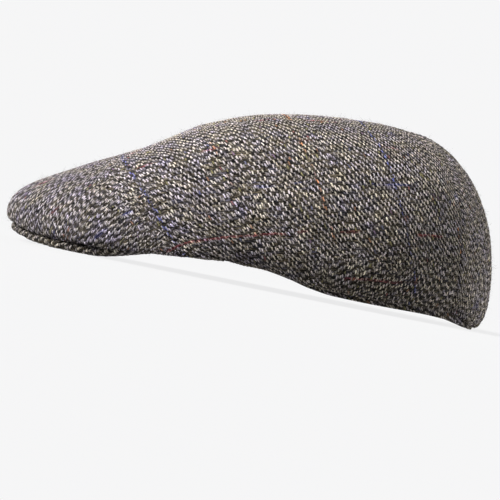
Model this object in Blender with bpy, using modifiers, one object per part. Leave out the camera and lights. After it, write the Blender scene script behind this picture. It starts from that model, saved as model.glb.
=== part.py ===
# Flat cap in tweed: crown, back panel, peak and head band.
# Metres, +Z up. The cap rests on z = 0 with its peak towards -Y and its mirror plane at x = 0.

import math

import bmesh
import bpy
from mathutils import Vector

# Overall length and height of the cap
CAP_LENGTH = 0.2840
CAP_HEIGHT = 0.1065

# Cloth wall, and the clearances: along the seams, under the crown's lip, from the peak to the band
# and from the rolled lower edge to the band
CLOTH = 0.0020
SEAM_GAP = 0.0005
LIP_GAP = 0.0005
BAND_GAP = 0.0003
ROLL_GAP = 0.0009

# Head opening, measured inside the band, and how far the cloth bulges past the band at the rear
# and at the sides
HEAD_LENGTH = 0.1980
HEAD_WIDTH = 0.1580
REAR_BULGE = 0.0062
SIDE_BULGE = 0.0130
BAND_WALL = 0.0020
BAND_HEIGHT = 0.0090

# Overall width of the cap
CAP_WIDTH = HEAD_WIDTH + 2 * (BAND_WALL + SIDE_BULGE)

# How far the crown's lower edge turns in over the peak
LIP_TURN = 0.0040

# The peak's thickness and the rounding of its edge
PEAK_WALL = 0.0046
PEAK_ROUNDING = 0.0012

# Facets: rows along the cap, columns from the ridge to the widest line, columns of the roll below it
CROWN_ROWS = 34
SIDE_COLUMNS = 15
ROLL_COLUMNS = 5
BACK_ROWS = 9
PEAK_ROWS = 22
PEAK_COLUMNS = 7
BAND_SEGMENTS = 72
BAND_ROWS = 2

# The cap is a dome. A latitude runs along it, from -90 degrees at the front end to 90 at the rear,
# and y is half the length times its sine. An angle runs across it, from 0 on the ridge to 90 on the
# widest line. Heights are shares of CAP_HEIGHT, breadth is a share of half of CAP_WIDTH.
#   rise      height of the ridge above the widest line, over the cosine of the latitude
#   breadth   half width, over the cosine of the latitude
#   level     height of the widest line
#   fullness  exponent of the section's superellipse, 2 for a plain ellipse
SECTION_COLUMNS = ("latitude", "rise", "breadth", "level", "fullness")
SECTIONS = (
    (-90, 0.430, 1.270, 0.158, 2.00),
    (-75, 0.441, 1.240, 0.149, 2.02),
    (-60, 0.463, 1.155, 0.130, 2.08),
    (-45, 0.501, 1.070, 0.125, 2.15),
    (-30, 0.547, 1.020, 0.149, 2.25),
    (-22, 0.598, 1.000, 0.178, 2.25),
    (-15, 0.641, 0.990, 0.204, 2.28),
    (0, 0.691, 0.990, 0.251, 2.30),
    (15, 0.755, 1.030, 0.260, 2.28),
    (30, 0.875, 1.070, 0.241, 2.25),
    (45, 1.020, 1.090, 0.214, 2.20),
    (60, 1.087, 1.095, 0.195, 2.12),
    (75, 1.130, 1.100, 0.167, 2.05),
    (90, 1.135, 1.100, 0.158, 2.00),
)

# Lower edges. Heights are shares of CAP_HEIGHT.
#   lip   the crown's lower edge
#   tuck  0 where that edge hangs outside the peak, 1 where it runs in to the band
#   hem   the band's lower edge
EDGE_COLUMNS = ("latitude", "lip", "tuck", "hem")
EDGES = (
    (-90, 0.098, 0.0, 0.125),
    (-75, 0.085, 0.0, 0.125),
    (-60, 0.058, 0.0, 0.125),
    (-45, 0.047, 0.0, 0.125),
    (-34, 0.048, 0.0, 0.125),
    (-26, 0.065, 0.0, 0.125),
    (-18, 0.077, 0.0, 0.122),
    (-9, 0.104, 0.0, 0.118),
    (-4, 0.109, 0.0, 0.116),
    (0, 0.107, 0.5, 0.112),
    (4, 0.104, 1.0, 0.104),
    (10, 0.084, 1.0, 0.082),
    (15, 0.071, 1.0, 0.056),
    (21, 0.062, 1.0, 0.040),
    (30, 0.063, 1.0, 0.037),
    (45, 0.074, 1.0, 0.042),
    (55, 0.078, 1.0, 0.042),
    (60, 0.074, 1.0, 0.036),
    (66, 0.065, 1.0, 0.018),
    (71, 0.056, 1.0, 0.000),
    (90, 0.046, 1.0, 0.000),
)

# The peak's edge: how far in from the widest line it stands, in turns of the lip, and the height of
# its top above the lip, as a share of CAP_HEIGHT. inner is the height of its top where it meets the
# band, as a share of CAP_HEIGHT.
PEAK_COLUMNS_NAMED = ("latitude", "inset", "lift", "inner")
PEAK_EDGES = (
    (-90, 1.10, 0.000, 0.165),
    (-60, 0.95, 0.000, 0.155),
    (-47, 0.95, 0.000, 0.148),
    (-39, 1.32, 0.000, 0.142),
    (-33, 1.42, 0.028, 0.138),
    (-26, 1.45, 0.056, 0.137),
    (-18, 1.45, 0.060, 0.137),
    (-5, 1.45, 0.050, 0.150),
)
PEAK_CORNER = -5

# The seam between crown and back panel: its latitude at each angle down from the ridge.
SEAM_COLUMNS = ("angle", "latitude")
SEAM = (
    (0, 25.0),
    (8, 27.0),
    (17, 32.0),
    (27, 39.3),
    (36, 45.5),
    (46, 50.4),
    (58, 53.6),
    (72, 55.2),
    (90, 56.0),
)

# Folds and dents: where they lie, how far they reach each way in degrees, how much they lean (degrees
# of latitude for each degree of angle) and their height as a share of CAP_HEIGHT.
FOLD_COLUMNS = ("latitude", "angle", "reach", "spread", "lean", "height")
FOLDS = (
    (-41, 38, 3.0, 26, -0.35, -0.012),
    (-2, 64, 13.0, 9, 0.0, -0.014),
    (-3, 83, 13.0, 8, 0.0, 0.008),
    (20, 84, 6.0, 7, 0.0, -0.012),
    (32, 78, 8.0, 7, 0.3, 0.008),
    (47, 74, 7.0, 14, 0.0, -0.010),
    (38, 0, 13.0, 9, 0.0, -0.012),
)


def column(rows, names, name, at):
    """Value of one column at a place along the first, on a smooth curve through the rows."""
    k = names.index(name)
    at = min(max(at, rows[0][0]), rows[-1][0])
    i = 0
    while i < len(rows) - 2 and at > rows[i + 1][0]:
        i += 1
    x0, x1 = rows[i][0], rows[i + 1][0]
    y0, y1 = rows[i][k], rows[i + 1][k]
    slope = (y1 - y0) / (x1 - x0)
    before = after = 0.0
    if i > 0:
        last = (y0 - rows[i - 1][k]) / (x0 - rows[i - 1][0])
        before = 0.0 if last * slope <= 0 else 2 * last * slope / (last + slope)
    if i < len(rows) - 2:
        following = (rows[i + 2][k] - y1) / (rows[i + 2][0] - x1)
        after = 0.0 if following * slope <= 0 else 2 * following * slope / (following + slope)
    t = (at - x0) / (x1 - x0)
    width = x1 - x0
    return (y0 * (1 + 2 * t) * (1 - t) ** 2 + before * width * t * (1 - t) ** 2
            + y1 * t * t * (3 - 2 * t) + after * width * t * t * (t - 1))


def section(name, latitude):
    return column(SECTIONS, SECTION_COLUMNS, name, latitude)


def edge(name, latitude):
    return column(EDGES, EDGE_COLUMNS, name, latitude)


def ease(t):
    t = min(max(t, 0.0), 1.0)
    return t * t * (3 - 2 * t)


def length_at(latitude):
    return CAP_LENGTH / 2 * math.sin(math.radians(latitude))


def latitude_at(y):
    return math.degrees(math.asin(min(max(2 * y / CAP_LENGTH, -1.0), 1.0)))


def fold_height(latitude, angle):
    total = 0.0
    for at, across, reach, spread, lean, height in FOLDS:
        away = (latitude - at - lean * (angle - across)) / reach
        down = (angle - across) / spread
        total += height * math.exp(-away * away - down * down)
    return total * CAP_HEIGHT


def dome(latitude, angle):
    """Point of the cloth's outer face above the widest line."""
    cosine = math.cos(math.radians(latitude))
    power = 2 / section("fullness", latitude)
    out = math.sin(math.radians(angle))
    up = max(math.cos(math.radians(angle)), 0.0)
    fold = fold_height(latitude, angle) * cosine
    x = CAP_WIDTH / 2 * section("breadth", latitude) * cosine * out ** power
    z = CAP_HEIGHT * (section("level", latitude) + section("rise", latitude) * cosine * up ** power)
    return Vector((x + fold * out, length_at(latitude), z + fold * up))


# The band's oval: its outer face is centred behind the middle of the cap
BAND_HALF_LENGTH = HEAD_LENGTH / 2 + BAND_WALL
BAND_HALF_WIDTH = HEAD_WIDTH / 2 + BAND_WALL
BAND_CENTRE = CAP_LENGTH / 2 - REAR_BULGE - BAND_HALF_LENGTH


def oval(turn, out=0.0):
    """Point in plan on the band's outer face: turn is -90 at the front and 90 at the rear."""
    turn = math.radians(turn)
    return Vector(((BAND_HALF_WIDTH + out) * math.cos(turn),
                   BAND_CENTRE + (BAND_HALF_LENGTH + out) * math.sin(turn), 0.0))


def oval_at(y, out=0.0):
    """Point in plan on the band's outer face at a place along the cap."""
    share = min(max((y - BAND_CENTRE) / (BAND_HALF_LENGTH + out), -1.0), 1.0)
    return oval(math.degrees(math.asin(share)), out)


def inset_point(latitude, inset):
    """Point in plan on the widest line, moved in towards the middle of the cap's front."""
    widest = dome(latitude, 90)
    plan = Vector((widest.x, widest.y, 0.0))
    ahead = dome(min(latitude + 1, 90), 90) - dome(max(latitude - 1, -90), 90)
    inward = Vector((-ahead.y, ahead.x, 0.0)).normalized()
    if latitude <= -90:
        inward = Vector((0.0, 1.0, 0.0))
    return plan + inward * inset


def lip_point(latitude):
    """Lower edge of the crown or back panel, below a point of the widest line."""
    hanging = inset_point(latitude, LIP_TURN)
    y = length_at(latitude)
    seam = length_at(SEAM[-1][1])
    y -= (REAR_BULGE - ROLL_GAP) * ease((y - seam) / (CAP_LENGTH / 2 - seam))
    tucked = oval_at(y, ROLL_GAP)
    plan = hanging.lerp(tucked, edge("tuck", latitude))
    return Vector((plan.x, plan.y, CAP_HEIGHT * edge("lip", latitude)))


def roll(latitude, share):
    """Point of the roll from the widest line, share 0, in to the lower edge, share 1."""
    widest = dome(latitude, 90)
    lip = lip_point(latitude)
    turn = math.radians(90 * share)
    sideways = 1 - math.cos(turn)
    down = math.sin(turn)
    return Vector((widest.x + (lip.x - widest.x) * sideways,
                   widest.y + (lip.y - widest.y) * sideways,
                   widest.z + (lip.z - widest.z) * down))


def seam_latitude(angle):
    return column(SEAM, SEAM_COLUMNS, "latitude", angle)


def cloth_point(start, end, along, across):
    """Point of a panel: along goes from the front limit to the rear one, across from the ridge
    down. The limits are functions of the angle. Past 1, across follows the roll below."""
    angle = 90 * min(across, 1.0)
    latitude = start(angle) + (end(angle) - start(angle)) * along
    if across <= 1:
        return dome(latitude, angle)
    return roll(latitude, across - 1)


def peak_edge(name, latitude):
    return column(PEAK_EDGES, PEAK_COLUMNS_NAMED, name, latitude)


def peak_point(along, across):
    """Point of the peak's top: along from its middle to its corner, across from its edge in."""
    latitude = -90 + (PEAK_CORNER + 90) * along
    outer = inset_point(latitude, LIP_TURN * peak_edge("inset", latitude))
    outer.z = CAP_HEIGHT * (edge("lip", latitude) + peak_edge("lift", latitude)) - LIP_GAP
    corner_y = length_at(PEAK_CORNER)
    corner = math.degrees(math.asin((corner_y - BAND_CENTRE) / BAND_HALF_LENGTH))
    inner = oval(-90 + (corner + 90) * along, BAND_GAP)
    inner.z = CAP_HEIGHT * peak_edge("inner", latitude)
    point = outer.lerp(inner, across)
    point.z = outer.z + (inner.z - outer.z) * ease(across)
    return point


def sheet(name, rows, columns, place):
    """A grid whose points are moved to place(along, across), both from 0 to 1."""
    mesh = bpy.data.meshes.new(name)
    bm = bmesh.new()
    bmesh.ops.create_grid(bm, x_segments=round(rows), y_segments=round(columns), size=0.5)
    for vertex in bm.verts:
        vertex.co = place(vertex.co.x + 0.5, vertex.co.y + 0.5)
    bmesh.ops.remove_doubles(bm, verts=bm.verts, dist=0.00002)
    bmesh.ops.recalc_face_normals(bm, faces=bm.faces)
    bm.to_mesh(mesh)
    bm.free()
    piece = bpy.data.objects.new(name, mesh)
    parts.objects.link(piece)
    return piece


def face_outwards(piece, outwards):
    """Turns the open sheet over if its first face looks the wrong way."""
    polygon = piece.data.polygons[len(piece.data.polygons) // 2]
    if polygon.normal.dot(outwards(polygon.center)) < 0:
        piece.data.flip_normals()


def mirrored(piece):
    mirror = piece.modifiers.new("mirror", "MIRROR")
    mirror.use_axis[0] = True
    mirror.merge_threshold = 0.00005
    mirror.use_clip = True


def walled(piece, thickness):
    wall = piece.modifiers.new("wall", "SOLIDIFY")
    wall.thickness = thickness
    wall.offset = -1
    wall.use_rim = True


def finish(piece, colour, roughness):
    material = bpy.data.materials.new(piece.name)
    material.use_nodes = True
    shader = material.node_tree.nodes["Principled BSDF"]
    shader.inputs["Base Color"].default_value = (*colour, 1)
    shader.inputs["Roughness"].default_value = roughness
    shader.inputs["Metallic"].default_value = 0
    piece.data.materials.append(material)
    piece.data.shade_smooth()
    piece.data.set_sharp_from_angle(angle=math.radians(40))


def panel_place(start, end):
    """The across share of a grid, stretched so that the roll has its own columns."""
    total = SIDE_COLUMNS + ROLL_COLUMNS

    def place(along, across):
        step = across * total
        if step <= SIDE_COLUMNS:
            return cloth_point(start, end, along, step / SIDE_COLUMNS)
        return cloth_point(start, end, along, 1 + (step - SIDE_COLUMNS) / ROLL_COLUMNS)

    return place


def seam_shift():
    return math.degrees(SEAM_GAP / CAP_LENGTH * 2)


def make_crown():
    place = panel_place(lambda angle: -90.0, lambda angle: seam_latitude(angle) - seam_shift())
    crown = sheet("crown", CROWN_ROWS, SIDE_COLUMNS + ROLL_COLUMNS, place)
    face_outwards(crown, lambda at: at - Vector((0, at.y, 0)))
    mirrored(crown)
    walled(crown, CLOTH)
    finish(crown, (0.16, 0.15, 0.14), 0.95)


def make_back_panel():
    place = panel_place(lambda angle: seam_latitude(angle) + seam_shift(), lambda angle: 90.0)
    panel = sheet("back_panel", BACK_ROWS, SIDE_COLUMNS + ROLL_COLUMNS, place)
    face_outwards(panel, lambda at: at)
    mirrored(panel)
    walled(panel, CLOTH)
    finish(panel, (0.13, 0.12, 0.10), 0.95)


def make_peak():
    peak = sheet("peak", PEAK_ROWS, PEAK_COLUMNS, peak_point)
    face_outwards(peak, lambda at: Vector((0, 0, 1)))
    mirrored(peak)
    walled(peak, PEAK_WALL)
    bevel = peak.modifiers.new("rounding", "BEVEL")
    bevel.width = PEAK_ROUNDING
    bevel.segments = 2
    bevel.limit_method = "ANGLE"
    bevel.angle_limit = math.radians(60)
    finish(peak, (0.12, 0.11, 0.10), 0.95)


def band_point(along, across):
    """Point of the band's outer face: along goes once round, from the front, across goes up."""
    point = oval(-90 + 360 * along)
    hem = CAP_HEIGHT * edge("hem", latitude_at(point.y))
    point.z = hem + BAND_HEIGHT * across
    return point


def make_head_band():
    band = sheet("head_band", BAND_SEGMENTS, BAND_ROWS, band_point)
    face_outwards(band, lambda at: Vector((at.x, at.y - BAND_CENTRE, 0)))
    walled(band, BAND_WALL)
    finish(band, (0.10, 0.09, 0.08), 0.95)


for item in list(bpy.data.objects):
    bpy.data.objects.remove(item, do_unlink=True)
parts = bpy.data.collections.new("flat_cap")
bpy.context.scene.collection.children.link(parts)

make_crown()
make_back_panel()
make_peak()
make_head_band()
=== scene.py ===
import math

import bpy
import numpy as np
from mathutils import Matrix


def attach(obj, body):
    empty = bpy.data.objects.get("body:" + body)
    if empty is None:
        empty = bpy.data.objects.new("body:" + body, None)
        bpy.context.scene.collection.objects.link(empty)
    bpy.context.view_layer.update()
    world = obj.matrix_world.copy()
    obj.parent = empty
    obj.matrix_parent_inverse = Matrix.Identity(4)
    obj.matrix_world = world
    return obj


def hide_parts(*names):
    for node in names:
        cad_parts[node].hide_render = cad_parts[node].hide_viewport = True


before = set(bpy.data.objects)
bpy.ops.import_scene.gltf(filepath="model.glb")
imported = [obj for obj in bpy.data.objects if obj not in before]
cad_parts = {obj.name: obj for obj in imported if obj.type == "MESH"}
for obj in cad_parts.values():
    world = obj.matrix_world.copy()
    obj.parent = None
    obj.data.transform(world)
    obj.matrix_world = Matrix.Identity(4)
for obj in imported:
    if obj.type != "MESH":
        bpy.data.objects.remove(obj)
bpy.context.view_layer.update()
bpy.ops.object.select_all(action="DESELECT")

# the cap's own shape, in metres, as its source gives it

cap = {
    "length": 0.2840, "width": 0.1880, "height": 0.1065,
    "cloth": 0.0020, "seamGap": 0.0001, "lipGap": 0.0005, "bandGap": 0.0003, "rollGap": 0.0009,
    "headLength": 0.1980, "headWidth": 0.1580, "rearBulge": 0.0062, "bandWall": 0.0020,
    "bandHeight": 0.0090, "lipTurn": 0.0040, "peakWall": 0.0046, "peakCorner": -5.0,
}

# latitude, rise, breadth, level, fullness
sectionTable = np.array((
    (-90, .430, 1.270, .158, 2.00), (-75, .441, 1.240, .149, 2.02), (-60, .463, 1.155, .130, 2.08),
    (-45, .501, 1.070, .125, 2.15), (-30, .547, 1.020, .149, 2.25), (-22, .598, 1.000, .178, 2.25),
    (-15, .641, .990, .204, 2.28), (0, .691, .990, .251, 2.30), (15, .755, 1.030, .260, 2.28),
    (30, .875, 1.070, .241, 2.25), (45, 1.020, 1.090, .214, 2.20), (60, 1.087, 1.095, .195, 2.12),
    (75, 1.130, 1.100, .167, 2.05), (90, 1.135, 1.100, .158, 2.00)))

# latitude, lip, tuck, hem
edgeTable = np.array((
    (-90, .098, 0, .125), (-75, .085, 0, .125), (-60, .058, 0, .125), (-45, .047, 0, .125),
    (-34, .048, 0, .125), (-26, .065, 0, .125), (-18, .077, 0, .122), (-9, .104, 0, .118),
    (-4, .109, 0, .116), (0, .107, .5, .112), (4, .104, 1, .104), (10, .084, 1, .082),
    (15, .071, 1, .056), (21, .062, 1, .040), (30, .063, 1, .037), (45, .072, 1, .039),
    (55, .071, 1, .033), (60, .062, 1, .024), (66, .046, 1, .011), (71, .032, 1, .002),
    (90, .014, 1, .002)))

# latitude, inset, lift, inner
peakTable = np.array((
    (-90, 1.10, 0, .165), (-60, .95, 0, .155), (-47, .95, 0, .148), (-39, 1.32, 0, .142),
    (-33, 1.42, .028, .138), (-26, 1.45, .056, .137), (-18, 1.45, .060, .137),
    (-5, 1.45, .050, .150)))

# angle, latitude
seamTable = np.array((
    (0, 25.0), (8, 27.0), (17, 32.0), (27, 39.3), (36, 45.5), (46, 50.4), (58, 53.6),
    (72, 55.2), (90, 56.0)))

# latitude, angle, reach, spread, lean, height
foldTable = (
    (-41, 38, 3.0, 26, -0.35, -0.012), (-2, 64, 13.0, 9, 0.0, -0.014),
    (-3, 83, 13.0, 8, 0.0, 0.008), (20, 84, 6.0, 7, 0.0, -0.012), (32, 78, 8.0, 7, 0.3, 0.008),
    (47, 74, 7.0, 14, 0.0, -0.010), (38, 0, 13.0, 9, 0.0, -0.012))

# the tables' columns
rise, breadth, level, fullness = 1, 2, 3, 4
lip, tuck, hem = 1, 2, 3
inset, lift, inner = 1, 2, 3


def smooth(table, index, at):
    # a smooth curve through one column of a table, without overshoot
    x, y = table[:, 0], table[:, index]
    at = np.clip(at, x[0], x[-1])
    slope = np.diff(y) / np.diff(x)
    tangent = np.zeros(len(x))
    product = slope[:-1] * slope[1:]
    total = np.where(product > 0, slope[:-1] + slope[1:], 1.0)
    tangent[1:-1] = np.where(product > 0, 2 * product / total, 0.0)
    i = np.clip(np.searchsorted(x, at) - 1, 0, len(x) - 2)
    width = x[i + 1] - x[i]
    t = (at - x[i]) / width
    return (y[i] * (1 + 2 * t) * (1 - t) ** 2 + tangent[i] * width * t * (1 - t) ** 2
            + y[i + 1] * t * t * (3 - 2 * t) + tangent[i + 1] * width * t * t * (t - 1))


def ease(t):
    t = np.clip(t, 0.0, 1.0)
    return t * t * (3 - 2 * t)


def stack(*parts):
    return np.stack(np.broadcast_arrays(*parts), axis=-1)


def unit(vectors):
    return vectors / np.maximum(np.linalg.norm(vectors, axis=-1, keepdims=True), 1e-12)


def lengthAt(latitude):
    return cap["length"] / 2 * np.sin(np.radians(latitude))


def latitudeAt(y):
    return np.degrees(np.arcsin(np.clip(2 * y / cap["length"], -1, 1)))


def dome(latitude, angle):
    # the cloth's outer face above the widest line
    cosine = np.cos(np.radians(latitude))
    power = 2 / smooth(sectionTable, fullness, latitude)
    out = np.sin(np.radians(angle))
    up = np.maximum(np.cos(np.radians(angle)), 0.0)
    fold = 0.0
    for at, across, reach, spread, lean, height in foldTable:
        away = (latitude - at - lean * (angle - across)) / reach
        fold = fold + height * np.exp(-away ** 2 - ((angle - across) / spread) ** 2)
    fold = fold * cap["height"] * cosine
    x = cap["width"] / 2 * smooth(sectionTable, breadth, latitude) * cosine * out ** power
    z = cap["height"] * (smooth(sectionTable, level, latitude)
                         + smooth(sectionTable, rise, latitude) * cosine * up ** power)
    return stack(x + fold * out, lengthAt(latitude), z + fold * up)


bandHalfLength = cap["headLength"] / 2 + cap["bandWall"]
bandHalfWidth = cap["headWidth"] / 2 + cap["bandWall"]
bandCentre = cap["length"] / 2 - cap["rearBulge"] - bandHalfLength


def oval(turn, out=0.0):
    # the band's outer face in plan: turn is -90 at the front, 90 at the rear
    turn = np.radians(turn)
    return stack((bandHalfWidth + out) * np.cos(turn),
                 bandCentre + (bandHalfLength + out) * np.sin(turn), 0.0)


def ovalAt(y, out=0.0):
    share = np.clip((y - bandCentre) / (bandHalfLength + out), -1, 1)
    return oval(np.degrees(np.arcsin(share)), out)


def insetPoint(latitude, amount):
    # on the widest line in plan, moved in towards the middle
    widest = dome(latitude, 90.0)
    ahead = dome(np.minimum(latitude + 1, 90), 90.0) - dome(np.maximum(latitude - 1, -90), 90.0)
    inward = unit(stack(-ahead[..., 1], ahead[..., 0], 0.0))
    inward = np.where((latitude <= -90)[..., None], np.array((0.0, 1.0, 0.0)), inward)
    return widest * np.array((1, 1, 0)) + inward * np.asarray(amount)[..., None]


def lipPoint(latitude):
    hanging = insetPoint(latitude, np.full(latitude.shape, cap["lipTurn"]))
    y = lengthAt(latitude)
    seam = lengthAt(seamTable[-1, 1])
    share = (y - seam) / (cap["length"] / 2 - seam)
    y = y - (cap["rearBulge"] - cap["rollGap"]) * ease(share)
    tucked = ovalAt(y, cap["rollGap"])
    plan = hanging + (tucked - hanging) * smooth(edgeTable, tuck, latitude)[..., None]
    return stack(plan[..., 0], plan[..., 1], cap["height"] * smooth(edgeTable, lip, latitude))


def panelPoint(latitude, angle, share):
    # share is 0 on the dome, and goes to 1 down the roll from the widest line to the lip
    above = dome(latitude, angle)
    widest, edge = dome(latitude, 90.0), lipPoint(latitude)
    turn = np.radians(90 * share)
    moved = stack(1 - np.cos(turn), 1 - np.cos(turn), np.sin(turn))
    return np.where((share > 0)[..., None], widest + (edge - widest) * moved, above)


print("shape ready")

# tools for meshes and cloth

rollShare = 0.20  # of a panel's columns, the share that the roll below the widest line takes
floorClearance = 0.0001  # nothing reaches through the floor
mergeReach = 2e-6
sharpAngle = 72  # degrees: sharper edges of a shell aren't smoothed


def newItem(name, places, faces):
    # an object at the origin, selected and active
    mesh = bpy.data.meshes.new(name)
    mesh.from_pydata(places.reshape(-1, 3).tolist(), [], faces)
    item = bpy.data.objects.new(name, mesh)
    bpy.context.scene.collection.objects.link(item)
    bpy.ops.object.select_all(action="DESELECT")
    item.select_set(True)
    bpy.context.view_layer.objects.active = item
    return item


def latticeFaces(rows, columns, tube=False, ring=False):
    # quads over a lattice; in a tube the last column meets the first, in a ring the last row too
    index = np.arange(rows * columns).reshape(rows, columns)
    if ring:
        index = np.concatenate((index, index[:1]), axis=0)
    if tube or ring:
        index = np.concatenate((index, index[:, :1]), axis=1)
    quads = stack(index[:-1, :-1], index[1:, :-1], index[1:, 1:], index[:-1, 1:])
    return quads.reshape(-1, 4).tolist()


def layCloth(item, flat):
    # every corner takes its vertex's place on the flat cloth
    corner = np.empty(len(item.data.loops), dtype=int)
    item.data.loops.foreach_get("vertex_index", corner)
    layer = item.data.uv_layers.new(name="weave")
    layer.uv.foreach_set("vector", flat.reshape(-1, 2)[corner].ravel())


def closeUp(merge=True):
    # merges what coincides in the active object, and points its faces outwards
    bpy.ops.object.mode_set(mode="EDIT")
    bpy.ops.mesh.select_all(action="SELECT")
    if merge:
        bpy.ops.mesh.remove_doubles(threshold=mergeReach)
        bpy.ops.mesh.select_all(action="SELECT")
    bpy.ops.mesh.normals_make_consistent(inside=False)
    bpy.ops.object.mode_set(mode="OBJECT")


def enter(item, node=None):
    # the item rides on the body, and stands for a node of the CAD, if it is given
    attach(item, "root")
    if node:
        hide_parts(node)
    print(item.name, len(item.data.polygons), "faces")


def latticeNoise(x, y, size, seed):
    # smooth noise from -1 to 1, with lumps of one size
    table = np.random.default_rng(seed).uniform(-1, 1, (256, 256))
    x, y = x / size, y / size
    i, j = np.floor(x).astype(int), np.floor(y).astype(int)
    a, b = ease(x - i), ease(y - j)
    i, j = i % 256, j % 256
    k, n = (i + 1) % 256, (j + 1) % 256
    near = table[i, j] + (table[k, j] - table[i, j]) * a
    far = table[i, n] + (table[k, n] - table[i, n]) * a
    return near + (far - near) * b


def panelGrid(start, end, along, across):
    # positions for a panel whose limits are functions of the angle; across runs from -1 to 1
    side = np.sign(across) + (across == 0)
    step = np.abs(across) / (1 - rollShare)
    angle = 90 * np.minimum(step, 1.0)
    share = np.clip((np.abs(across) - 1 + rollShare) / rollShare, 0, 1)
    latitude = start(angle) + (end(angle) - start(angle)) * along
    points = panelPoint(latitude, angle, share)
    points[..., 0] *= side
    return points


def gridNormals(points, flip):
    down = np.gradient(points, axis=0)
    sideways = np.gradient(points, axis=1)
    normals = np.cross(down, sideways) * flip
    size = np.linalg.norm(normals, axis=-1)
    weak = size < 1e-12
    normals = unit(normals)
    normals[weak] = 0
    return normals


def bilinear(field, rows, columns):
    # a field on a lattice read at fractional rows and columns
    i = np.clip(np.floor(rows).astype(int), 0, field.shape[0] - 2)
    j = np.clip(np.floor(columns).astype(int), 0, field.shape[1] - 2)
    a, b = (rows - i)[..., None], (columns - j)[..., None]
    return ((field[i, j] * (1 - a) + field[i + 1, j] * a) * (1 - b)
            + (field[i, j + 1] * (1 - a) + field[i + 1, j + 1] * a) * b)


def flatten(points):
    # lays a lattice of points out flat, as the cloth was cut, in metres
    rows, columns = points.shape[:2]
    solid = points.reshape(-1, 3)
    item = newItem("flattened", solid, latticeFaces(rows, columns))
    mesh = item.data
    mesh.uv_layers.new(name="flat")
    bpy.ops.object.mode_set(mode="EDIT")
    bpy.ops.mesh.select_all(action="SELECT")
    bpy.ops.mesh.remove_doubles(threshold=1e-6)
    bpy.ops.uv.unwrap(method="ANGLE_BASED", margin=0)
    bpy.ops.object.mode_set(mode="OBJECT")
    placed = np.empty(len(mesh.vertices) * 3)
    mesh.vertices.foreach_get("co", placed)
    placed = placed.reshape(-1, 3)
    corner = np.empty(len(mesh.loops), dtype=int)
    mesh.loops.foreach_get("vertex_index", corner)
    read = np.empty(len(mesh.loops) * 2)
    mesh.uv_layers["flat"].uv.foreach_get("vector", read)
    uv = np.zeros((len(placed), 2))
    uv[corner] = read.reshape(-1, 2)
    # each lattice point takes the vertex that it was merged into, or else the nearest one
    order = {tuple(key): i for i, key in enumerate(np.round(placed, 6).tolist())}
    keys = np.round(solid.astype(np.float32), 6).tolist()
    owner = np.array([order.get(tuple(key), -1) for key in keys])
    for i in np.flatnonzero(owner < 0):
        owner[i] = np.argmin(((placed - solid[i]) ** 2).sum(axis=1))
    laid = uv[owner].reshape(rows, columns, 2)
    bpy.data.objects.remove(item, do_unlink=True)
    return laid * (edgeTotal(points) / edgeTotal(laid))


def edgeTotal(lattice):
    return (np.linalg.norm(np.diff(lattice, axis=0), axis=-1).sum()
            + np.linalg.norm(np.diff(lattice, axis=1), axis=-1).sum())


def closedShell(name, outer, innerSide, uv, flip, coarse):
    # a fine outer lattice, a coarser inner one and the rim between them, as one closed mesh
    rows, columns = outer.shape[:2]
    fine = np.arange(rows * columns).reshape(rows, columns)
    inside = innerSide[::coarse, ::coarse]
    rough = fine.size + np.arange(inside.shape[0] * inside.shape[1]).reshape(inside.shape[:2])
    quads = [stack(fine[:-1, :-1], fine[:-1, 1:], fine[1:, 1:], fine[1:, :-1]).reshape(-1, 4),
             stack(rough[:-1, :-1], rough[1:, :-1], rough[1:, 1:], rough[:-1, 1:]).reshape(-1, 4)]
    fineLoop = np.concatenate((fine[0, :-1], fine[:-1, -1], fine[-1, :0:-1], fine[:0:-1, 0]))
    roughLoop = np.concatenate((rough[0, :-1], rough[:-1, -1], rough[-1, :0:-1], rough[:0:-1, 0]))
    faces = quads[0].tolist() + quads[1].tolist()
    total = len(fineLoop)
    for k in range(len(roughLoop)):
        near, far = roughLoop[k], roughLoop[(k + 1) % len(roughLoop)]
        run = [fineLoop[(k * coarse + n) % total] for n in range(coarse + 1)]
        half = coarse // 2
        for n in range(coarse):
            faces.append((run[n + 1], run[n], near if n < half else far))
        faces.append((near, far, run[half]))
    if flip < 0:
        faces = [face[::-1] for face in faces]
    places = np.concatenate((outer.reshape(-1, 3), inside.reshape(-1, 3)))
    item = newItem(name, places, faces)
    layCloth(item, np.concatenate((uv.reshape(-1, 2), uv[::coarse, ::coarse].reshape(-1, 2))))
    closeUp()
    bpy.ops.object.shade_smooth_by_angle(angle=math.radians(sharpAngle))
    return item


# tweed: sizes shared by the mesh's relief and the material

tweed = {
    "columnPitch": 0.001265, "rowPitch": 0.00137, "columnLean": 0.22,
    # how the floats of neighbouring yarns step, plainly and in the turned zones, and their form
    "step": 0.618034, "looseStep": 0.4, "turnedStep": 2.6,
    "shortness": 3.4, "narrowness": 2.35, "rowHeight": 0.50, "meanHeight": 0.45,
    "lump": 0.00040, "lumpSize": 0.014, "lumpSeed": 71,
    "pebble": 0.00016, "pebbleSize": 0.0042, "pebbleSeed": 72, "relief": 0.00062,
    "wander": 0.00036, "wanderSize": 0.0024, "drift": 0.0012, "driftSize": 0.016,
    "checkU": 0.045, "checkV": 0.030, "threadHalf": 0.0008,
    # the zones where the floats lean the other way: in front, and low at the rear
    "patchU": 0.0021, "patchV": 0.0023, "frontLimit": 0.03,
    "frontPitch": 0.0016, "frontRow": 0.00066, "frontLean": 1.6,
    "frontFrom": 0.004, "frontFade": 0.026,
    "lowPitch": 0.00127, "lowRow": 0.0012, "lowLean": 0.59,
    "lowFrom": -0.070, "lowFade": 0.016, "lowBehind": 0.065, "lowBehindFade": 0.02,
}

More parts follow.
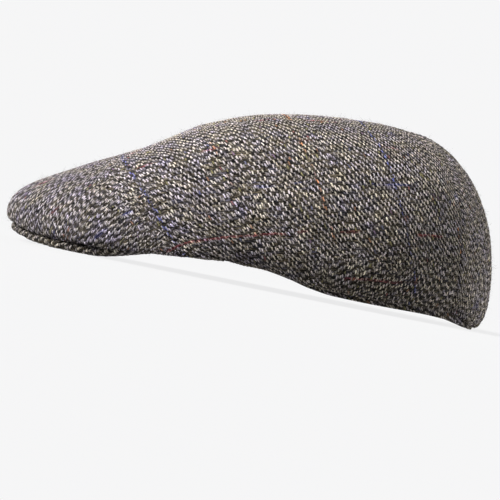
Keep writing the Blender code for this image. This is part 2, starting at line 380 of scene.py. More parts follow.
# by number and by cell, and then shift, by number, by cell, offset and stretch
chanceStart = (0.7548777, 0.5698403)
chanceTable = ((0.37, 0.131, 0.173, 5.21, 7.3), (0.21, 0.117, 0.097, 3.7, 9.1))


def chances(number, cell):
    # two values from 0 to 1 for each float of yarn, which the material works out the same way
    value, values = (number * chanceStart[0] + cell * chanceStart[1]) % 1, []
    for shift, byNumber, byCell, offset, stretch in chanceTable:
        moved = value + number * byNumber + cell * byCell + offset
        value = ((value + shift) * moved * stretch) % 1
        values.append(value)
    return values


def weaveHeight(flat, turned):
    # the light floats stand over the dark yarns, two rows up and two rows down
    rawU, rawV = flat[..., 0], flat[..., 1]
    u, v, here = rawU / tweed["columnPitch"], rawV / tweed["rowPitch"], 0
    if turned:
        # the zones grow together out of patches
        patch = chances(np.floor(rawU / tweed["patchU"]), np.floor(rawV / tweed["patchV"]))[0]
        ahead = np.clip((tweed["frontFrom"] - rawU) / tweed["frontFade"], 0, 1)
        low = (np.clip((tweed["lowFrom"] - rawV) / tweed["lowFade"], 0, 1)
               * np.clip((rawU - tweed["lowBehind"]) / tweed["lowBehindFade"], 0, 1))
        front = rawU < tweed["frontLimit"]
        here = np.maximum(ahead, low) > patch
        lean = np.where(front, tweed["frontLean"], tweed["lowLean"])
        pitch = np.where(front, tweed["frontPitch"], tweed["lowPitch"])
        u = np.where(here, (rawU - rawV * lean) / pitch, u)
        v = np.where(here, rawV / np.where(front, tweed["frontRow"], tweed["lowRow"]), v)
    number = np.floor(u)
    loose = here * tweed["turnedStep"] + tweed["looseStep"]
    wave = v / 4 - (number * tweed["step"] + chances(number, 11)[0] * loose) % 1
    cell = np.floor(wave)
    second, third = chances(number, cell)
    along = (wave - cell - 0.25 + (second - 0.5) * 0.10) * (tweed["shortness"] + third)
    lean = tweed["columnLean"] + (second - 0.5) * 0.5
    across = (u - number - 0.5 + along * lean * 0.5 + (third - 0.5) * 0.22) * tweed["narrowness"]
    light = np.clip(1 - across ** 2, 0, 1) * np.clip(1 - along ** 4, 0, 1)
    return np.maximum(light, tweed["rowHeight"] * (1 - (2 * (v % 1) - 1) ** 2))


def yarnRelief(flat, turned=False):
    # a mean over the lattice's own step, with offsets in mm, so that it doesn't alias
    total = 0.0
    for du, dv in ((-0.11, -0.2), (0.11, -0.2), (-0.11, 0.2), (0.11, 0.2)):
        total = total + weaveHeight(flat + np.array((du, dv)) * 0.001, turned)
    return total / 4 - tweed["meanHeight"]


def clothRelief(flat, lumps, pebbleSeed, turned=False):
    # slow lumps, pebbles and yarns; lumps is the share of the first
    x, y = flat[..., 0], flat[..., 1]
    height = lumps * tweed["lump"] * latticeNoise(x, y, tweed["lumpSize"], tweed["lumpSeed"])
    height += tweed["pebble"] * latticeNoise(x, y, tweed["pebbleSize"], pebbleSeed)
    return height + tweed["relief"] * yarnRelief(flat, turned)


def wandering(flat, seed):
    # the yarns wander a little
    x, y = flat[..., 0], flat[..., 1]
    moved = flat.copy()
    for k in range(2):
        moved[..., k] += (tweed["wander"] * latticeNoise(x, y, tweed["wanderSize"], seed + k)
                          + tweed["drift"] * latticeNoise(x, y, tweed["driftSize"], seed + 5 + k))
    return moved


def edgeRound(distance, radius):
    # how far a folded edge falls in, at a distance from it
    share = np.clip(1 - distance / radius, 0, 1)
    return radius * (1 - np.sqrt(1 - share ** 2))


def runLength(points, axis, backwards):
    # distance along the lattice's lines from one border
    steps = np.linalg.norm(np.diff(points, axis=axis), axis=-1)
    if backwards:
        steps = np.flip(steps, axis)
    total = np.cumsum(steps, axis=axis)
    total = np.concatenate((np.zeros_like(np.take(total, [0], axis)), total), axis=axis)
    return np.flip(total, axis) if backwards else total


print("cloth tools ready")

# the crown, in two halves that meet on the ridge

crown = {
    "rows": 761, "columns": 177, "cuts": (0, 380, 760), "coarse": 4,
    "latticeRows": 120, "latticeColumns": 80,
    "turn": 0.0, "sweep": -0.77, "offsetU": 0.009, "offsetV": 0.0645,
    "droop": 0.008, "droopFrom": 0.04, "droopOver": 0.08,
    # how far the rows lie off the brow's level, from the front to the rear
    "levelAt": (-0.005, 0.012, 0.03, 0.055, 0.095),
    "level": (-0.0060, -0.0022, 0.0020, 0.0045, 0.0),
    "seamDip": 0.0003, "seamReach": 0.0015, "seamCalm": 0.012, "edgeRadius": 0.0004,
    "lipRound": 0.0011, "lipFrom": -18, "lipOver": 14, "seed": 11,
}

# the groove that parts the turned hem from both panels: latitudes in degrees, the rest in metres
hemGroove = {"from": 16, "over": 42, "fadeFrom": 60, "fadeOver": 12, "fade": 0.85,
             "place": 0.0014, "widening": 0.0040, "depth": 0.0013, "width": 0.0009}


seamShift = math.degrees(cap["seamGap"] / cap["length"] * 2)  # half the seam's gap, in latitude


def crownStart(angle):
    return np.full(np.shape(angle), -90.0)


def crownEnd(angle):
    return smooth(seamTable, 1, angle) - seamShift


def backStart(angle):
    return smooth(seamTable, 1, angle) + seamShift


def backEnd(angle):
    return np.full(np.shape(angle), 90.0)


def grain(flat, settings):
    # turns and bends the flat cloth so that the yarns run as they do on the cap
    turn = math.radians(settings["turn"])
    a, b = flat[..., 0], flat[..., 1]
    u = a * math.cos(turn) + b * math.sin(turn)
    v = -a * math.sin(turn) + b * math.cos(turn)
    if "sweep" in settings:
        u = u + settings["sweep"] * v * v
    if "droop" in settings:
        v = v + settings["droop"] * ease((u - settings["droopFrom"]) / settings["droopOver"])
        v = v + np.interp(u, settings["levelAt"], settings["level"])
    return stack(u + settings["offsetU"], v + settings["offsetV"])


def uprightFlat(laid):
    # turns the flat lattice so that its first axis runs from front to rear and its second up
    middle = laid.shape[1] // 2
    ahead = unit(laid[-1, middle] - laid[laid.shape[0] // 2, middle])
    laid = laid - laid[laid.shape[0] // 2, middle]
    side = stack(-ahead[1], ahead[0])
    x, y = laid @ ahead, laid @ side
    if y[laid.shape[0] // 2, -1] > 0:  # the positive side of the cap lies below the ridge
        y = -y
    return stack(x, y)


def cutSize(cut):
    # width and length of the cloth a piece is cut from, and the area of the cut
    length, width = np.ptp(cut.reshape(-1, 2), axis=0)
    down, sideways = np.diff(cut, axis=0)[:, :-1], np.diff(cut, axis=1)[:-1]
    area = np.abs(down[..., 0] * sideways[..., 1] - down[..., 1] * sideways[..., 0]).sum()
    return (round(float(width), 4), round(float(length), 4)), float(area)


def panelRelief(points, flat, fromSeam, fromLip, settings, turned):
    # how far the outer face stands off the smooth one
    calm = ease(fromSeam / settings["seamCalm"])
    height = clothRelief(flat, calm, tweed["pebbleSeed"], turned)
    height -= settings["seamDip"] * np.exp(-(fromSeam / settings["seamReach"]) ** 2)
    latitude = latitudeAt(points[..., 1])
    rearward = np.clip((latitude - hemGroove["from"]) / hemGroove["over"], 0, 1)
    place = hemGroove["place"] + hemGroove["widening"] * rearward
    fading = ease((latitude - hemGroove["fadeFrom"]) / hemGroove["fadeOver"])
    deep = hemGroove["depth"] * ease(rearward * 5) * (1 - hemGroove["fade"] * fading)
    height -= deep * np.exp(-((fromLip - place) / hemGroove["width"]) ** 2)
    height -= edgeRound(fromSeam, settings["edgeRadius"])
    radius = settings["edgeRadius"]
    if "lipRound" in settings:
        ahead = np.clip((settings["lipFrom"] - latitude) / settings["lipOver"], 0, 1)
        radius = radius + settings["lipRound"] * ahead
    return height - edgeRound(fromLip, radius)


def makePanel(names, side, start, end, settings, laid, node):
    # one half of a panel, cut into pieces; side is 1 for the left half and -1 for the right
    rows, columns = settings["rows"], settings["columns"]
    along, across = np.meshgrid(np.linspace(0, 1, rows), side * np.linspace(0, 1, columns),
                                indexing="ij")
    points = panelGrid(start, end, along, np.where(across == 0, side * 1e-9, across))
    points[:, 0, 0] = 0.0
    normals = gridNormals(points, -side)
    normals[:, 0, 0] = 0.0
    normals = unit(normals)
    cut = bilinear(laid, along * (laid.shape[0] - 1), (across + 1) / 2 * (laid.shape[1] - 1))
    flat = wandering(grain(cut, settings), settings["seed"])
    # at the front or rear tip the columns meet in one point
    isCrown = start is crownStart
    normals[0 if isCrown else -1] = unit(np.array((0.0, -1.0 if isCrown else 1.0, 0.15)))
    fromSeam, fromLip = runLength(points, 0, isCrown), runLength(points, 1, True)
    height = panelRelief(points, flat, fromSeam, fromLip, settings, isCrown)
    outer = points + normals * height[..., None]
    inside = points - normals * cap["cloth"]
    for layer in (outer, inside):
        layer[:, 0, 0] = 0.0
        layer[..., 2] = np.maximum(layer[..., 2], floorClearance)
    made = []
    for name, first, last in zip(names, settings["cuts"][:-1], settings["cuts"][1:]):
        part = slice(first, last + 1)
        item = closedShell(name, outer[part], inside[part], flat[part], side, settings["coarse"])
        enter(item, node)
        flatSize, area = cutSize(cut[part])
        print(name, "cut from", flatSize)
        made.append(item)
    return made


def makeHalves(halves, start, end, settings, node):
    # both halves of a panel, whose cloth is laid flat as one cut
    rows, columns = settings["latticeRows"], settings["latticeColumns"]
    along, across = np.meshgrid(np.linspace(0, 1, rows), np.linspace(-1, 1, 2 * columns + 1),
                                indexing="ij")
    laid = uprightFlat(flatten(panelGrid(start, end, along, across)))
    print(node, "laid flat", np.ptp(laid[..., 0]).round(4), np.ptp(laid[..., 1]).round(4))
    made = []
    for side, names in zip((1, -1), halves):
        made += makePanel(names, side, start, end, settings, laid, node)
    return made


crownHalves = (("crown_left_front", "crown_left_rear"), ("crown_right_front", "crown_right_rear"))
crownPieces = makeHalves(crownHalves, crownStart, crownEnd, crown, "crown")

# the back panel

back = {
    "rows": 157, "columns": 209, "cuts": (0, 156), "coarse": 4,
    "latticeRows": 50, "latticeColumns": 80,
    "turn": 90.0, "offsetU": 0.0, "offsetV": 0.0,
    "seamDip": 0.0003, "seamReach": 0.0015, "seamCalm": 0.012, "edgeRadius": 0.0004, "seed": 31,
}

backHalves = (("back_left",), ("back_right",))
backPieces = makeHalves(backHalves, backStart, backEnd, back, "back_panel")

# the peak, a stiff core wrapped in the same cloth

peak = {
    "rows": 365, "topColumns": 40, "edgeColumns": 12, "crowding": 1.5,
    "turn": 8.0, "offsetU": 0.0, "offsetV": 0.0, "seed": 51, "pebbleSeed": 73,
}


def peakTop(along, across):
    latitude = -90 + (cap["peakCorner"] + 90) * along
    outer = insetPoint(latitude, cap["lipTurn"] * smooth(peakTable, inset, latitude))
    outer[..., 2] = cap["height"] * (smooth(edgeTable, lip, latitude)
                                     + smooth(peakTable, lift, latitude)) - cap["lipGap"]
    cornerY = lengthAt(cap["peakCorner"])
    corner = math.degrees(math.asin((cornerY - bandCentre) / bandHalfLength))
    inside = oval(-90 + (corner + 90) * along, cap["bandGap"])
    inside[..., 2] = cap["height"] * smooth(peakTable, inner, latitude)
    point = outer + (inside - outer) * across[..., None]
    point[..., 2] = outer[..., 2] + (inside[..., 2] - outer[..., 2]) * ease(across)
    return point


def makePeak():
    rows, top, edge = peak["rows"], peak["topColumns"], peak["edgeColumns"]
    radius = cap["peakWall"] / 2
    signed = np.linspace(-1, 1, rows)
    crosswise = np.linspace(1, 0, top) ** peak["crowding"]
    along, across = np.meshgrid(np.abs(signed), crosswise, indexing="ij")
    upper = peakTop(along, across)
    upper[..., 0] *= np.sign(signed)[:, None] + (signed == 0)[:, None]
    normals = gridNormals(upper, 1)
    normals *= np.sign(normals[..., 2:3]) + (normals[..., 2:3] == 0)
    # the rounded edge stands on the outer line, and the bottom lies a wall below the top
    outward = unit((upper[:, -1] - upper[:, -2]) * np.array((1, 1, 0)))
    centre = upper[:, -1] - outward * radius - normals[:, -1] * radius
    turns = np.linspace(0, math.pi, edge)[1:-1]
    # the top ends where the rounded edge begins
    keep = np.linalg.norm((upper - upper[:, -1:])[..., :2], axis=-1) >= radius * 0.999
    count = int(keep.all(axis=0).sum())
    upper = upper[:, :count]
    normals = normals[:, :count]
    lower = (upper - normals * cap["peakWall"])[:, ::-1]
    rim = (centre[:, None] + outward[:, None] * (np.sin(turns)[None, :, None] * radius)
           + normals[:, -1:] * (np.cos(turns)[None, :, None] * radius))
    ring = np.concatenate((upper, rim, lower), axis=1)
    lengthwise = runLength(ring[:, count + edge // 2][:, None], 0, False)
    flat = stack(lengthwise, runLength(ring, 1, False))
    flat = wandering(grain(flat, peak), peak["seed"])
    outwards = gridNormals(ring, 1)
    if (outwards[rows // 2, count + edge // 2 - 1] @ outward[rows // 2]) < 0:
        outwards = -outwards
    height = clothRelief(flat, 0.0, peak["pebbleSeed"])
    ring = ring + outwards * height[..., None]
    ring[..., 2] = np.maximum(ring[..., 2], floorClearance)
    total = ring.shape[1]
    ends = [list(range(total)), list(range(rows * total - 1, (rows - 1) * total - 1, -1))]
    item = newItem("peak_cloth", ring, latticeFaces(rows, total, tube=True) + ends)
    layCloth(item, flat)
    closeUp()
    bpy.ops.object.shade_smooth()
    enter(item, "peak")
    return item


peakCloth = makePeak()

# the head band, folded cloth round the opening

band = {
    "segments": 720, "columns": 30, "squareness": 0.35, "ends": 0.9,
    "turn": 45.0, "offsetU": 0.0, "offsetV": 0.0,
}


def makeBand():
    segments, columns = band["segments"], band["columns"]
    turn = -90 + 360 * np.arange(segments) / segments
    centre = oval(turn, -cap["bandWall"] / 2)
    outward = unit(oval(turn, 0.0) - oval(turn, -0.01))
    low = cap["height"] * smooth(edgeTable, hem, latitudeAt(oval(turn)[..., 1]))
    half, radius = cap["bandHeight"] / 2, cap["bandWall"] / 2
    # a rounded strip: straight sides with a half circle below and above
    around = np.linspace(0, 2 * math.pi, columns, endpoint=False)
    sideways = radius * np.sign(np.cos(around)) * np.abs(np.cos(around)) ** band["squareness"]
    upward = half * np.sign(np.sin(around)) * np.abs(np.sin(around)) ** band["ends"]
    ring = (centre[:, None] + outward[:, None] * sideways[None, :, None]
            + np.array((0, 0, 1.0)) * (low[:, None, None] + half + upward[None, :, None]))
    item = newItem("band_cloth", ring, latticeFaces(segments, columns, ring=True))
    # the flat cloth: round the opening, and round the strip
    seamStep = 2 * math.pi * 0.5 * (bandHalfLength + bandHalfWidth) / segments
    seamU = np.arange(segments + 1) * seamStep
    strip = np.concatenate((ring[0], ring[0][:1]))
    stripV = np.cumsum(np.linalg.norm(np.diff(strip, axis=0), axis=-1))
    stripV = np.concatenate(([0.0], stripV))
    flat = grain(stack(seamU[:, None], stripV[None, :]), band)
    corners = np.stack((flat[:-1, :-1], flat[1:, :-1], flat[1:, 1:], flat[:-1, 1:]), axis=2)
    layer = item.data.uv_layers.new(name="weave")
    layer.uv.foreach_set("vector", corners.ravel())
    closeUp(merge=False)
    bpy.ops.object.shade_smooth()
    enter(item, "head_band")
    # the folded strip as it lies, both layers in one
    return item


bandCloth = makeBand()

# loose wool fibres that stand off the cloth

fuzz = {
    "count": 12000, "lengths": (0.0010, 0.0050), "shortness": 2.5, "radius": 0.000032,
    "root": 0.0002, "rise": (0.15, 0.9), "bend": 0.45, "seed": 91,
    # how far along a fibre each ring stands, and its share of the radius
    "rings": ((0.0, 1.0), (0.4, 0.9), (0.75, 0.6)),
    # fibres stand on faces that look away from this place, and not straight down
    "middle": (0.0, 0.03, 0.02), "outside": 0.004, "steepest": -0.75,
}


def clothFaces(item):
    # centres, normals and areas of the faces that fibres may stand on
    number = len(item.data.polygons)
    area, centre, normal = np.empty(number), np.empty(number * 3), np.empty(number * 3)
    item.data.polygons.foreach_get("area", area)
    item.data.polygons.foreach_get("center", centre)
    item.data.polygons.foreach_get("normal", normal)
    centre, normal = centre.reshape(-1, 3), normal.reshape(-1, 3)
    outside = ((centre - np.array(fuzz["middle"])) * normal).sum(axis=1) > fuzz["outside"]
    keep = outside & (normal[:, 2] > fuzz["steepest"])
    return centre[keep], normal[keep], area[keep]


def makeFuzz(sources):
    random = np.random.default_rng(fuzz["seed"])
    centres, normals, areas = map(np.concatenate, zip(*map(clothFaces, sources)))
    count = fuzz["count"]
    chosen = random.choice(len(areas), count, p=areas / areas.sum())
    base, normal = centres[chosen], normals[chosen]
    low, high = fuzz["lengths"]
    length = (low + (high - low) * random.random(count) ** fuzz["shortness"])[:, None]
    lean = unit(random.normal(size=(count, 3)))
    lean = unit(lean - normal * (lean * normal).sum(axis=1, keepdims=True))
    bend = unit(random.normal(size=(count, 3)))
    direction = unit(normal * random.uniform(*fuzz["rise"], (count, 1)) + lean)
    sideways = unit(np.cross(direction, bend))
    across = np.cross(direction, sideways)

    def spine(t):
        return (base - normal * fuzz["root"] + direction * length * t
                + bend * length * fuzz["bend"] * t * t)

    verts = []
    for t, share in fuzz["rings"]:
        for k in range(3):
            turn = 2 * math.pi * k / 3
            out = sideways * math.cos(turn) + across * math.sin(turn)
            verts.append(spine(t) + out * fuzz["radius"] * share)
    verts.append(spine(1.0))
    verts = np.stack(verts, axis=1)
    verts[..., 2] = np.maximum(verts[..., 2], floorClearance)
    # a cap at the root, two rings of three sides and the tip
    pattern = [(2, 1, 0)]
    for ring in (0, 3):
        for k in range(3):
            n = (k + 1) % 3
            pattern.append((ring + k, ring + n, ring + 3 + n, ring + 3 + k))
    for k in range(3):
        pattern.append((6 + k, 6 + (k + 1) % 3, 9))
    faces = [tuple(10 * i + k for k in face) for i in range(count) for face in pattern]
    item = newItem("wool_fibres", verts, faces)
    closeUp(merge=False)
    bpy.ops.object.shade_smooth()
    enter(item)
    return item


woolFibres = makeFuzz([*crownPieces, *backPieces, peakCloth])

# materials


class Wire:
    # a socket of a shader, whose operators add Math nodes
    def __init__(self, tree, socket=None):
        self.tree, self.socket = tree, socket

    def node(self, kind, settings=None, inputs=None, output=0):
        item = self.tree.nodes.new(kind)
        for key, value in (settings or {}).items():
            if key == "stops":
                ramp = item.color_ramp
                while len(ramp.elements) < len(value):
                    ramp.elements.new(1.0)
                for element, (place, colour) in zip(ramp.elements, value):
                    element.position = place
                    element.color = (*colour, 1)
            elif key == "interpolation":
                item.color_ramp.interpolation = value
            else:
                setattr(item, key, value)
        for key, value in (inputs or {}).items():
            if isinstance(value, Wire):
                self.tree.links.new(value.socket, item.inputs[key])
            else:
                item.inputs[key].default_value = value
        return Wire(self.tree, item.outputs[output])

    def math(self, operation, *values):
        return self.node("ShaderNodeMath", {"operation": operation}, dict(enumerate(values)))

    def __add__(self, other):
        return self.math("ADD", self, other)

    def __sub__(self, other):
        return self.math("SUBTRACT", self, other)

    def __mul__(self, other):
        return self.math("MULTIPLY", self, other)

    def __truediv__(self, other):
        return self.math("DIVIDE", self, other)

    def __pow__(self, other):
        return self.math("POWER", self, other)

    def __gt__(self, other):
        return self.math("GREATER_THAN", self, other)

    def __lt__(self, other):
        return self.math("LESS_THAN", self, other)

    def __radd__(self, other):
        return self.math("ADD", other, self)

    def __rsub__(self, other):
        return self.math("SUBTRACT", other, self)

    def floor(self):
        return self.math("FLOOR", self)

    def clamp(self):
        return self.node("ShaderNodeClamp", None, {0: self})

    def bigger(self, other):
        return self.math("MAXIMUM", self, other)

    def blend(self, kind, factor, first, second):
        return self.node("ShaderNodeMix", {"data_type": "RGBA", "blend_type": kind},
                         {0: factor, 6: first, 7: second}, 2)

    def parts(self, colour, count=2):
        item = self.tree.nodes.new("ShaderNodeSeparateColor")
        self.tree.links.new(colour.socket, item.inputs[0])
        return [Wire(self.tree, item.outputs[k]) for k in range(count)]

    def pair(self, x, y, z=0.0):
        return self.node("ShaderNodeCombineXYZ", None, {0: x, 1: y, 2: z})

    def chance(self, vector, output=0):
        return self.node("ShaderNodeTexWhiteNoise", {"noise_dimensions": "3D"}, {0: vector}, output)

    def chances(self, number, cell):
        start = number * chanceStart[0] + cell * chanceStart[1]
        value, values = self.math("FRACT", start), []
        for shift, byNumber, byCell, offset, stretch in chanceTable:
            moved = value + number * byNumber + cell * byCell + offset
            value = self.math("FRACT", (value + shift) * moved * stretch)
            values.append(value)
        return values

    def ramp(self, stops, value, interpolation="LINEAR"):
        return self.node("ShaderNodeValToRGB",
                         {"interpolation": interpolation, "stops": stops}, {0: value})

    def noise(self, vector, scale, detail=2.0, output=0):
        return self.node("ShaderNodeTexNoise", {"noise_dimensions": "3D"},
                         {"Vector": vector, "Scale": scale, "Detail": detail}, output)


tweedColours = {
    "light": ((0.0, (0.60, 0.575, 0.555)), (0.2, (0.46, 0.435, 0.435)),
              (0.42, (0.41, 0.375, 0.43)), (0.62, (0.455, 0.42, 0.395)),
              (0.8, (0.52, 0.49, 0.475)), (1.0, (0.35, 0.335, 0.365))),
    "dark": ((0.0, (0.085, 0.078, 0.074)), (0.35, (0.160, 0.135, 0.100)),
             (0.65, (0.105, 0.102, 0.135)), (1.0, (0.230, 0.200, 0.150))),
    "fleck": ((0.0, (0.46, 0.44, 0.09)), (0.45, (0.55, 0.22, 0.06)), (0.65, (0.09, 0.13, 0.42)),
              (0.82, (0.26, 0.11, 0.34)), (0.93, (0.45, 0.06, 0.08))),
    "tint": ((0.34, (1.05, 1.005, 0.86)), (0.45, (1.03, 0.99, 0.94)), (0.55, (1.00, 0.975, 1.00)),
             (0.67, (0.99, 0.95, 1.11))),
    "blueLine": (0.045, 0.075, 0.36, 1), "orangeLine": (0.55, 0.20, 0.045, 1),
    "redLine": (0.42, 0.075, 0.10, 1),
}


def laidLines(make, rawU, rawV, floatValue, darkColour, lightColour):
    # the overcheck: blue, orange and red threads, worn away in places
    half = tweed["threadHalf"]
    lineU = rawU / tweed["checkU"]
    numberU = (lineU + 0.5).floor()
    nearU = make.math("ABSOLUTE", (lineU - numberU) * tweed["checkU"]) < half
    nearU = nearU * (rawU > -0.02)  # none shows over the peak
    blueU = make.math("FLOORED_MODULO", numberU, 3.0) < 0.5
    colourU = make.blend("MIX", blueU, tweedColours["orangeLine"], tweedColours["blueLine"])
    worn = make.noise(make.pair(rawU * 60.0, rawV * 60.0, 4.0), 1.0, 1.0) * 6 - 2.7
    worn = (worn + blueU * 0.5).clamp()
    lightColour = make.blend("MIX", nearU * worn * 0.8, lightColour, colourU)
    lineV = rawV / tweed["checkV"]
    numberV = (lineV + 0.5).floor()
    nearV = make.math("ABSOLUTE", (lineV - numberV) * tweed["checkV"]) < half
    blueV = make.math("FLOORED_MODULO", numberV, 3.0) > 1.5
    colourV = make.blend("MIX", blueV, tweedColours["redLine"], tweedColours["blueLine"])
    wornV = (make.noise(make.pair(rawU * 60.0, rawV * 60.0, 9.0), 1.0, 1.0) * 6 - 3.2).clamp()
    # one stretch of the thread over the brow shows almost whole
    whole = (rawU > 0.004) * (rawU < 0.064) * (rawV < -0.05) * (rawV > -0.07)
    wornV = wornV.bigger(whole * (floatValue * 0.6 + 0.35))
    darkColour = make.blend("MIX", nearV * wornV * 0.8, darkColour, colourV)
    lightColour = make.blend("MIX", nearV * wornV * 0.35, lightColour, colourV)
    return darkColour, lightColour


def drawFloats(make, flat, rawU, rawV, settings):
    # the same floats as in the mesh's relief, with ragged outlines
    size = settings.get("size", 1.0)
    u, v = rawU / (tweed["columnPitch"] * size), rawV / (tweed["rowPitch"] * size)
    here = low = 0.0
    if settings.get("turned"):
        patch = make.chances((rawU / tweed["patchU"]).floor(), (rawV / tweed["patchV"]).floor())[0]
        ahead = ((tweed["frontFrom"] - rawU) / tweed["frontFade"]).clamp()
        low = (((tweed["lowFrom"] - rawV) / tweed["lowFade"]).clamp()
               * ((rawU - tweed["lowBehind"]) / tweed["lowBehindFade"]).clamp())
        front, here = rawU < tweed["frontLimit"], ahead.bigger(low) > patch
        lean = front * (tweed["frontLean"] - tweed["lowLean"]) + tweed["lowLean"]
        pitch = front * (tweed["frontPitch"] - tweed["lowPitch"]) + tweed["lowPitch"]
        rowPitch = front * (tweed["frontRow"] - tweed["lowRow"]) + tweed["lowRow"]
        u = u + ((rawU - rawV * lean) / pitch - u) * here
        v = v + (rawV / rowPitch - v) * here
    ragU, ragV = make.parts(make.noise(flat, 1500.0, 1.5, 1))
    u = u + (ragU - 0.5) * 0.9
    v = v + (ragV - 0.5) * 1.1
    number, row = u.floor(), v.floor()
    loose = here * tweed["turnedStep"] + tweed["looseStep"]
    phase = number * tweed["step"] + make.chances(number, 11)[0] * loose
    wave = v / 4 - make.math("FRACT", phase)
    cell = wave.floor()
    second, third = make.chances(number, cell)
    along = (wave - cell - 0.25 + (second - 0.5) * 0.10) * (tweed["shortness"] + third)
    lean = tweed["columnLean"] + (second - 0.5) * 0.5
    across = (u - number - 0.5 + along * lean * 0.5 + (third - 0.5) * 0.22) * tweed["narrowness"]
    light = (1 - across * across).clamp() * (1 - (along * along) ** 2).clamp()
    rowPlace = (v - row) * 2 - 1
    dark = (1 - rowPlace * rowPlace) * tweed["rowHeight"]
    return number, cell, row, (u / 4).floor(), low, light, dark


def makeTweed(name, settings):
    material = bpy.data.materials.new(name)
    material.use_nodes = True
    tree = material.node_tree
    shader = tree.nodes["Principled BSDF"]
    make = Wire(tree)
    flat = make.node("ShaderNodeUVMap", {"uv_map": "weave"})
    split = tree.nodes.new("ShaderNodeSeparateXYZ")
    tree.links.new(flat.socket, split.inputs[0])
    rawU, rawV = Wire(tree, split.outputs[0]), Wire(tree, split.outputs[1])
    number, cell, row, stretch, low, light, dark = drawFloats(make, flat, rawU, rawV, settings)
    height = light.bigger(dark)
    showing = ((light - dark) * 2.2 + 0.55).clamp()
    # the yarns: every float has its own shade, and every yarn its own character
    spot = make.pair(number, cell, 3.7)
    rareOne, rareTwo = make.parts(make.chance(spot, 1))
    floatValue = make.chance(spot)
    yarnValue = make.chance(make.pair(number, 0.0, 9.1))
    streak = make.noise(make.pair(number * 3.17, rawV * 90.0, 0.0), 1.0, 2.0)
    pick = (rareTwo * 0.55 + yarnValue * 0.25 + (streak - 0.5) * 0.9 + 0.1).clamp()
    lightColour = make.ramp(tweedColours["light"], pick)
    darkColour = make.ramp(tweedColours["dark"], make.chance(make.pair(row, 2.0, stretch)))
    # now and then a float is a bright fleck
    fleckColour = make.ramp(tweedColours["fleck"], rareTwo, "CONSTANT")
    lightColour = make.blend("MIX", (rareOne < 0.04) * 0.6, lightColour, fleckColour)
    if settings.get("overcheck"):
        darkColour, lightColour = laidLines(make, rawU, rawV, floatValue, darkColour, lightColour)
    colour = make.blend("MIX", showing, darkColour, lightColour)
    # painted shade: the gaps between the floats are painted dark, and rear deepens this towards the
    # rear of the crown
    rear = ((rawU - 0.05) / 0.1).clamp()
    paintedGapShade = (height * 2.1 - (rear * 0.10 + 0.18)).clamp().bigger(0.015)
    fibre = make.noise(flat, 2300.0, 2.0)
    # where a dark yarn lies between two floats it is hidden to a varying depth, and painted shade
    # darkens it by a random amount in each cell
    depth = make.chance(make.pair(number, row, 5.5))
    darkShade = depth * 1.45 + 0.02
    # painted shade: along the ridge the floats' highlights are painted down, and towards the rear
    # the ridge is painted darker
    paintedRidgeShade = ((rawV + 0.005) / 0.03).clamp() * settings.get("paintedRidgeShade", 0.0)
    lightShade = floatValue * (1.45 - paintedRidgeShade * 0.65) + (paintedRidgeShade * 0.2 + 0.62)
    shade = darkShade + (lightShade - darkShade) * showing
    tone = paintedGapShade * (fibre * 2.6 - 0.3) * shade * (1 - paintedRidgeShade * rear * 0.2) * settings.get("tone", 1.0)
    # the cloth's own hue drifts in patches, to olive and lilac, and is warmer at the rear
    drift = (make.noise(flat, 85.0, 1.5) + (0.04 + settings.get("cool", 0.0))
             - ((rawU + 0.03) / 0.10).clamp() * 0.13 + rawU * 0.1 - low * 0.10)
    colour = make.blend("MULTIPLY", 1.0, colour, make.ramp(tweedColours["tint"], drift))
    colour = make.blend("MULTIPLY", 1.0, colour,
                        make.node("ShaderNodeCombineColor", None, {0: tone, 1: tone, 2: tone}))
    bump = make.node("ShaderNodeBump", None, {
        "Strength": 1.0, "Distance": 0.0006, "Height": height + fibre * 0.5})
    tree.links.new(colour.socket, shader.inputs["Base Color"])
    tree.links.new(bump.socket, shader.inputs["Normal"])
    shader.inputs["Roughness"].default_value = 0.95
    shader.inputs["Specular IOR Level"].default_value = 0.15
    shader.inputs["Sheen Weight"].default_value = 0.04
    shader.inputs["Sheen Roughness"].default_value = 0.5
    return material


def wear(item, material):
    item.data.materials.clear()
    item.data.materials.append(material)


looks = {
    "crownTweed": {"overcheck": True, "turned": True, "tone": 1.13, "paintedRidgeShade": 1.0},
    "backTweed": {"size": 0.7, "tone": 1.17, "cool": -0.12},
    # the peak's cloth is painted darker than the crown's: painted shade under the crown's lip
    "peakTweed": {"tone": 0.95, "cool": -0.055},
    "bandTweed": {"tone": 0.9},
}
worn = (crownPieces, backPieces, [peakCloth], [bandCloth])
for (name, settings), items in zip(looks.items(), worn):
    material = makeTweed(name, settings)
    for item in items:
        wear(item, material)


def makeFibre():
    material = bpy.data.materials.new("woolFibre")
    material.use_nodes = True
    tree = material.node_tree
    shader = tree.nodes["Principled BSDF"]
    make = Wire(tree)
    place = make.node("ShaderNodeTexCoord", None, None, 3)
    stops = ((0.35, (0.10, 0.09, 0.085)), (0.5, (0.34, 0.33, 0.32)), (0.62, (0.55, 0.54, 0.50)))
    colour = make.ramp(stops, make.noise(place, 300.0, 1.0))
    tree.links.new(colour.socket, shader.inputs["Base Color"])
    shader.inputs["Roughness"].default_value = 0.9
    return material


wear(woolFibres, makeFibre())
print("materials ready")

# stage, light and camera

studio = {
    "rings": 48, "spokes": 96, "wallRadius": 4.5, "wallHeight": 4.0,
    # where the lit floor ends and fades into the backdrop
    "floorFrom": 0.25, "floorFade": 0.9, "floorGlow": 0.88,
    "paper": (0.71, 0.71, 0.71, 1), "backdrop": (0.92, 0.92, 0.925, 1),
    # name, direction towards the light, strength, angle
    "suns": (("key", (0.28, -0.62, 0.73), 4.9, 34.0), ("front", (0.49, -0.85, -0.17), 1.1, 60.0),
             ("rear", (-0.42, 0.88, 0.10), 2.9, 50.0), ("low", (0.25, 0.35, -0.90), 0.3, 70.0)),
    "world": 0.07,
    "lens": 173.4, "sensor": 36.0, "cameraPlace": (1.4, 0.0006, 0.0203), "cameraSlope": 0.2,
}


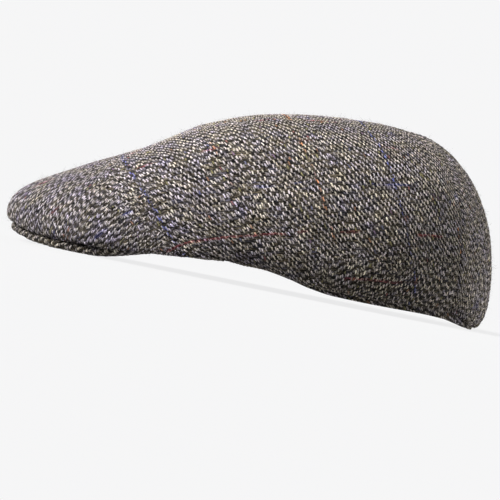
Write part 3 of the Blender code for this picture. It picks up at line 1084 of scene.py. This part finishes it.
def makeStage():
    # a floor that curves up into a round wall
    rings, spokes = studio["rings"], studio["spokes"]
    share = np.linspace(0, 1, rings)[:, None]
    turn = np.linspace(0, 2 * math.pi, spokes, endpoint=False)[None, :]
    radius = studio["wallRadius"] * np.sin(np.minimum(share * 1.4, 1) * math.pi / 2)
    rising = np.clip((share - 0.45) / 0.55, 0, 1) ** 2 * studio["wallHeight"]
    points = stack(radius * np.cos(turn), radius * np.sin(turn), rising)
    item = newItem("studio_floor", points, latticeFaces(rings, spokes, tube=True))
    item.data.shade_smooth()
    material = bpy.data.materials.new("studioPaper")
    material.use_nodes = True
    tree = material.node_tree
    tree.nodes.remove(tree.nodes["Principled BSDF"])
    make = Wire(tree)
    place = make.node("ShaderNodeTexCoord", None, None, 3)
    distance = make.node("ShaderNodeVectorMath", {"operation": "LENGTH"}, {0: place}, 1)
    away = ((distance - studio["floorFrom"]) / studio["floorFade"]).clamp()
    away = away * (1 - studio["floorGlow"]) + studio["floorGlow"]
    paper = make.node("ShaderNodeBsdfDiffuse", None, {0: studio["paper"]})
    glow = make.node("ShaderNodeEmission", None, {0: studio["backdrop"], 1: 1.0})
    mixed = make.node("ShaderNodeMixShader", None, {0: away, 1: paper, 2: glow})
    tree.links.new(mixed.socket, tree.nodes["Material Output"].inputs[0])
    item.data.materials.append(material)
    item.visible_diffuse = False
    item.visible_shadow = False
    item.visible_glossy = False


def makeSun(name, direction, strength, angle):
    data = bpy.data.lights.new(name, "SUN")
    data.energy = strength
    data.angle = math.radians(angle)
    item = bpy.data.objects.new(name, data)
    towards = unit(np.array(direction))
    side = unit(np.cross(np.array((0.0, 0.0, 1.0)), towards))
    up = np.cross(towards, side)
    item.matrix_world = Matrix([[*row, 0.0] for row in np.stack((side, up, towards), axis=1)]
                               + [[0, 0, 0, 1]])
    bpy.context.scene.collection.objects.link(item)


def makeCamera():
    data = bpy.data.cameras.new("camera")
    data.lens, data.sensor_width = studio["lens"], studio["sensor"]
    data.clip_start, data.clip_end = 0.01, 100.0
    item = bpy.data.objects.new("camera", data)
    # it looks along -X from the cap's left side, rolled as in the photo
    roll = math.atan(studio["cameraSlope"])
    away, aside, up = studio["cameraPlace"]
    cosine, sine = math.cos(roll), math.sin(roll)
    item.matrix_world = Matrix(((0, 0, 1, away), (cosine, -sine, 0, aside),
                                (sine, cosine, 0, up), (0, 0, 0, 1)))
    bpy.context.scene.collection.objects.link(item)
    bpy.context.scene.camera = item


makeStage()
for name, direction, strength, angle in studio["suns"]:
    makeSun(name, direction, strength, angle)
world = bpy.data.worlds.new("studio")
bpy.context.scene.world = world
world.use_nodes = True
world.node_tree.nodes["Background"].inputs[0].default_value = (1, 1, 1, 1)
world.node_tree.nodes["Background"].inputs[1].default_value = studio["world"]
makeCamera()
bpy.context.scene.view_settings.view_transform = "Standard"
print("studio ready")
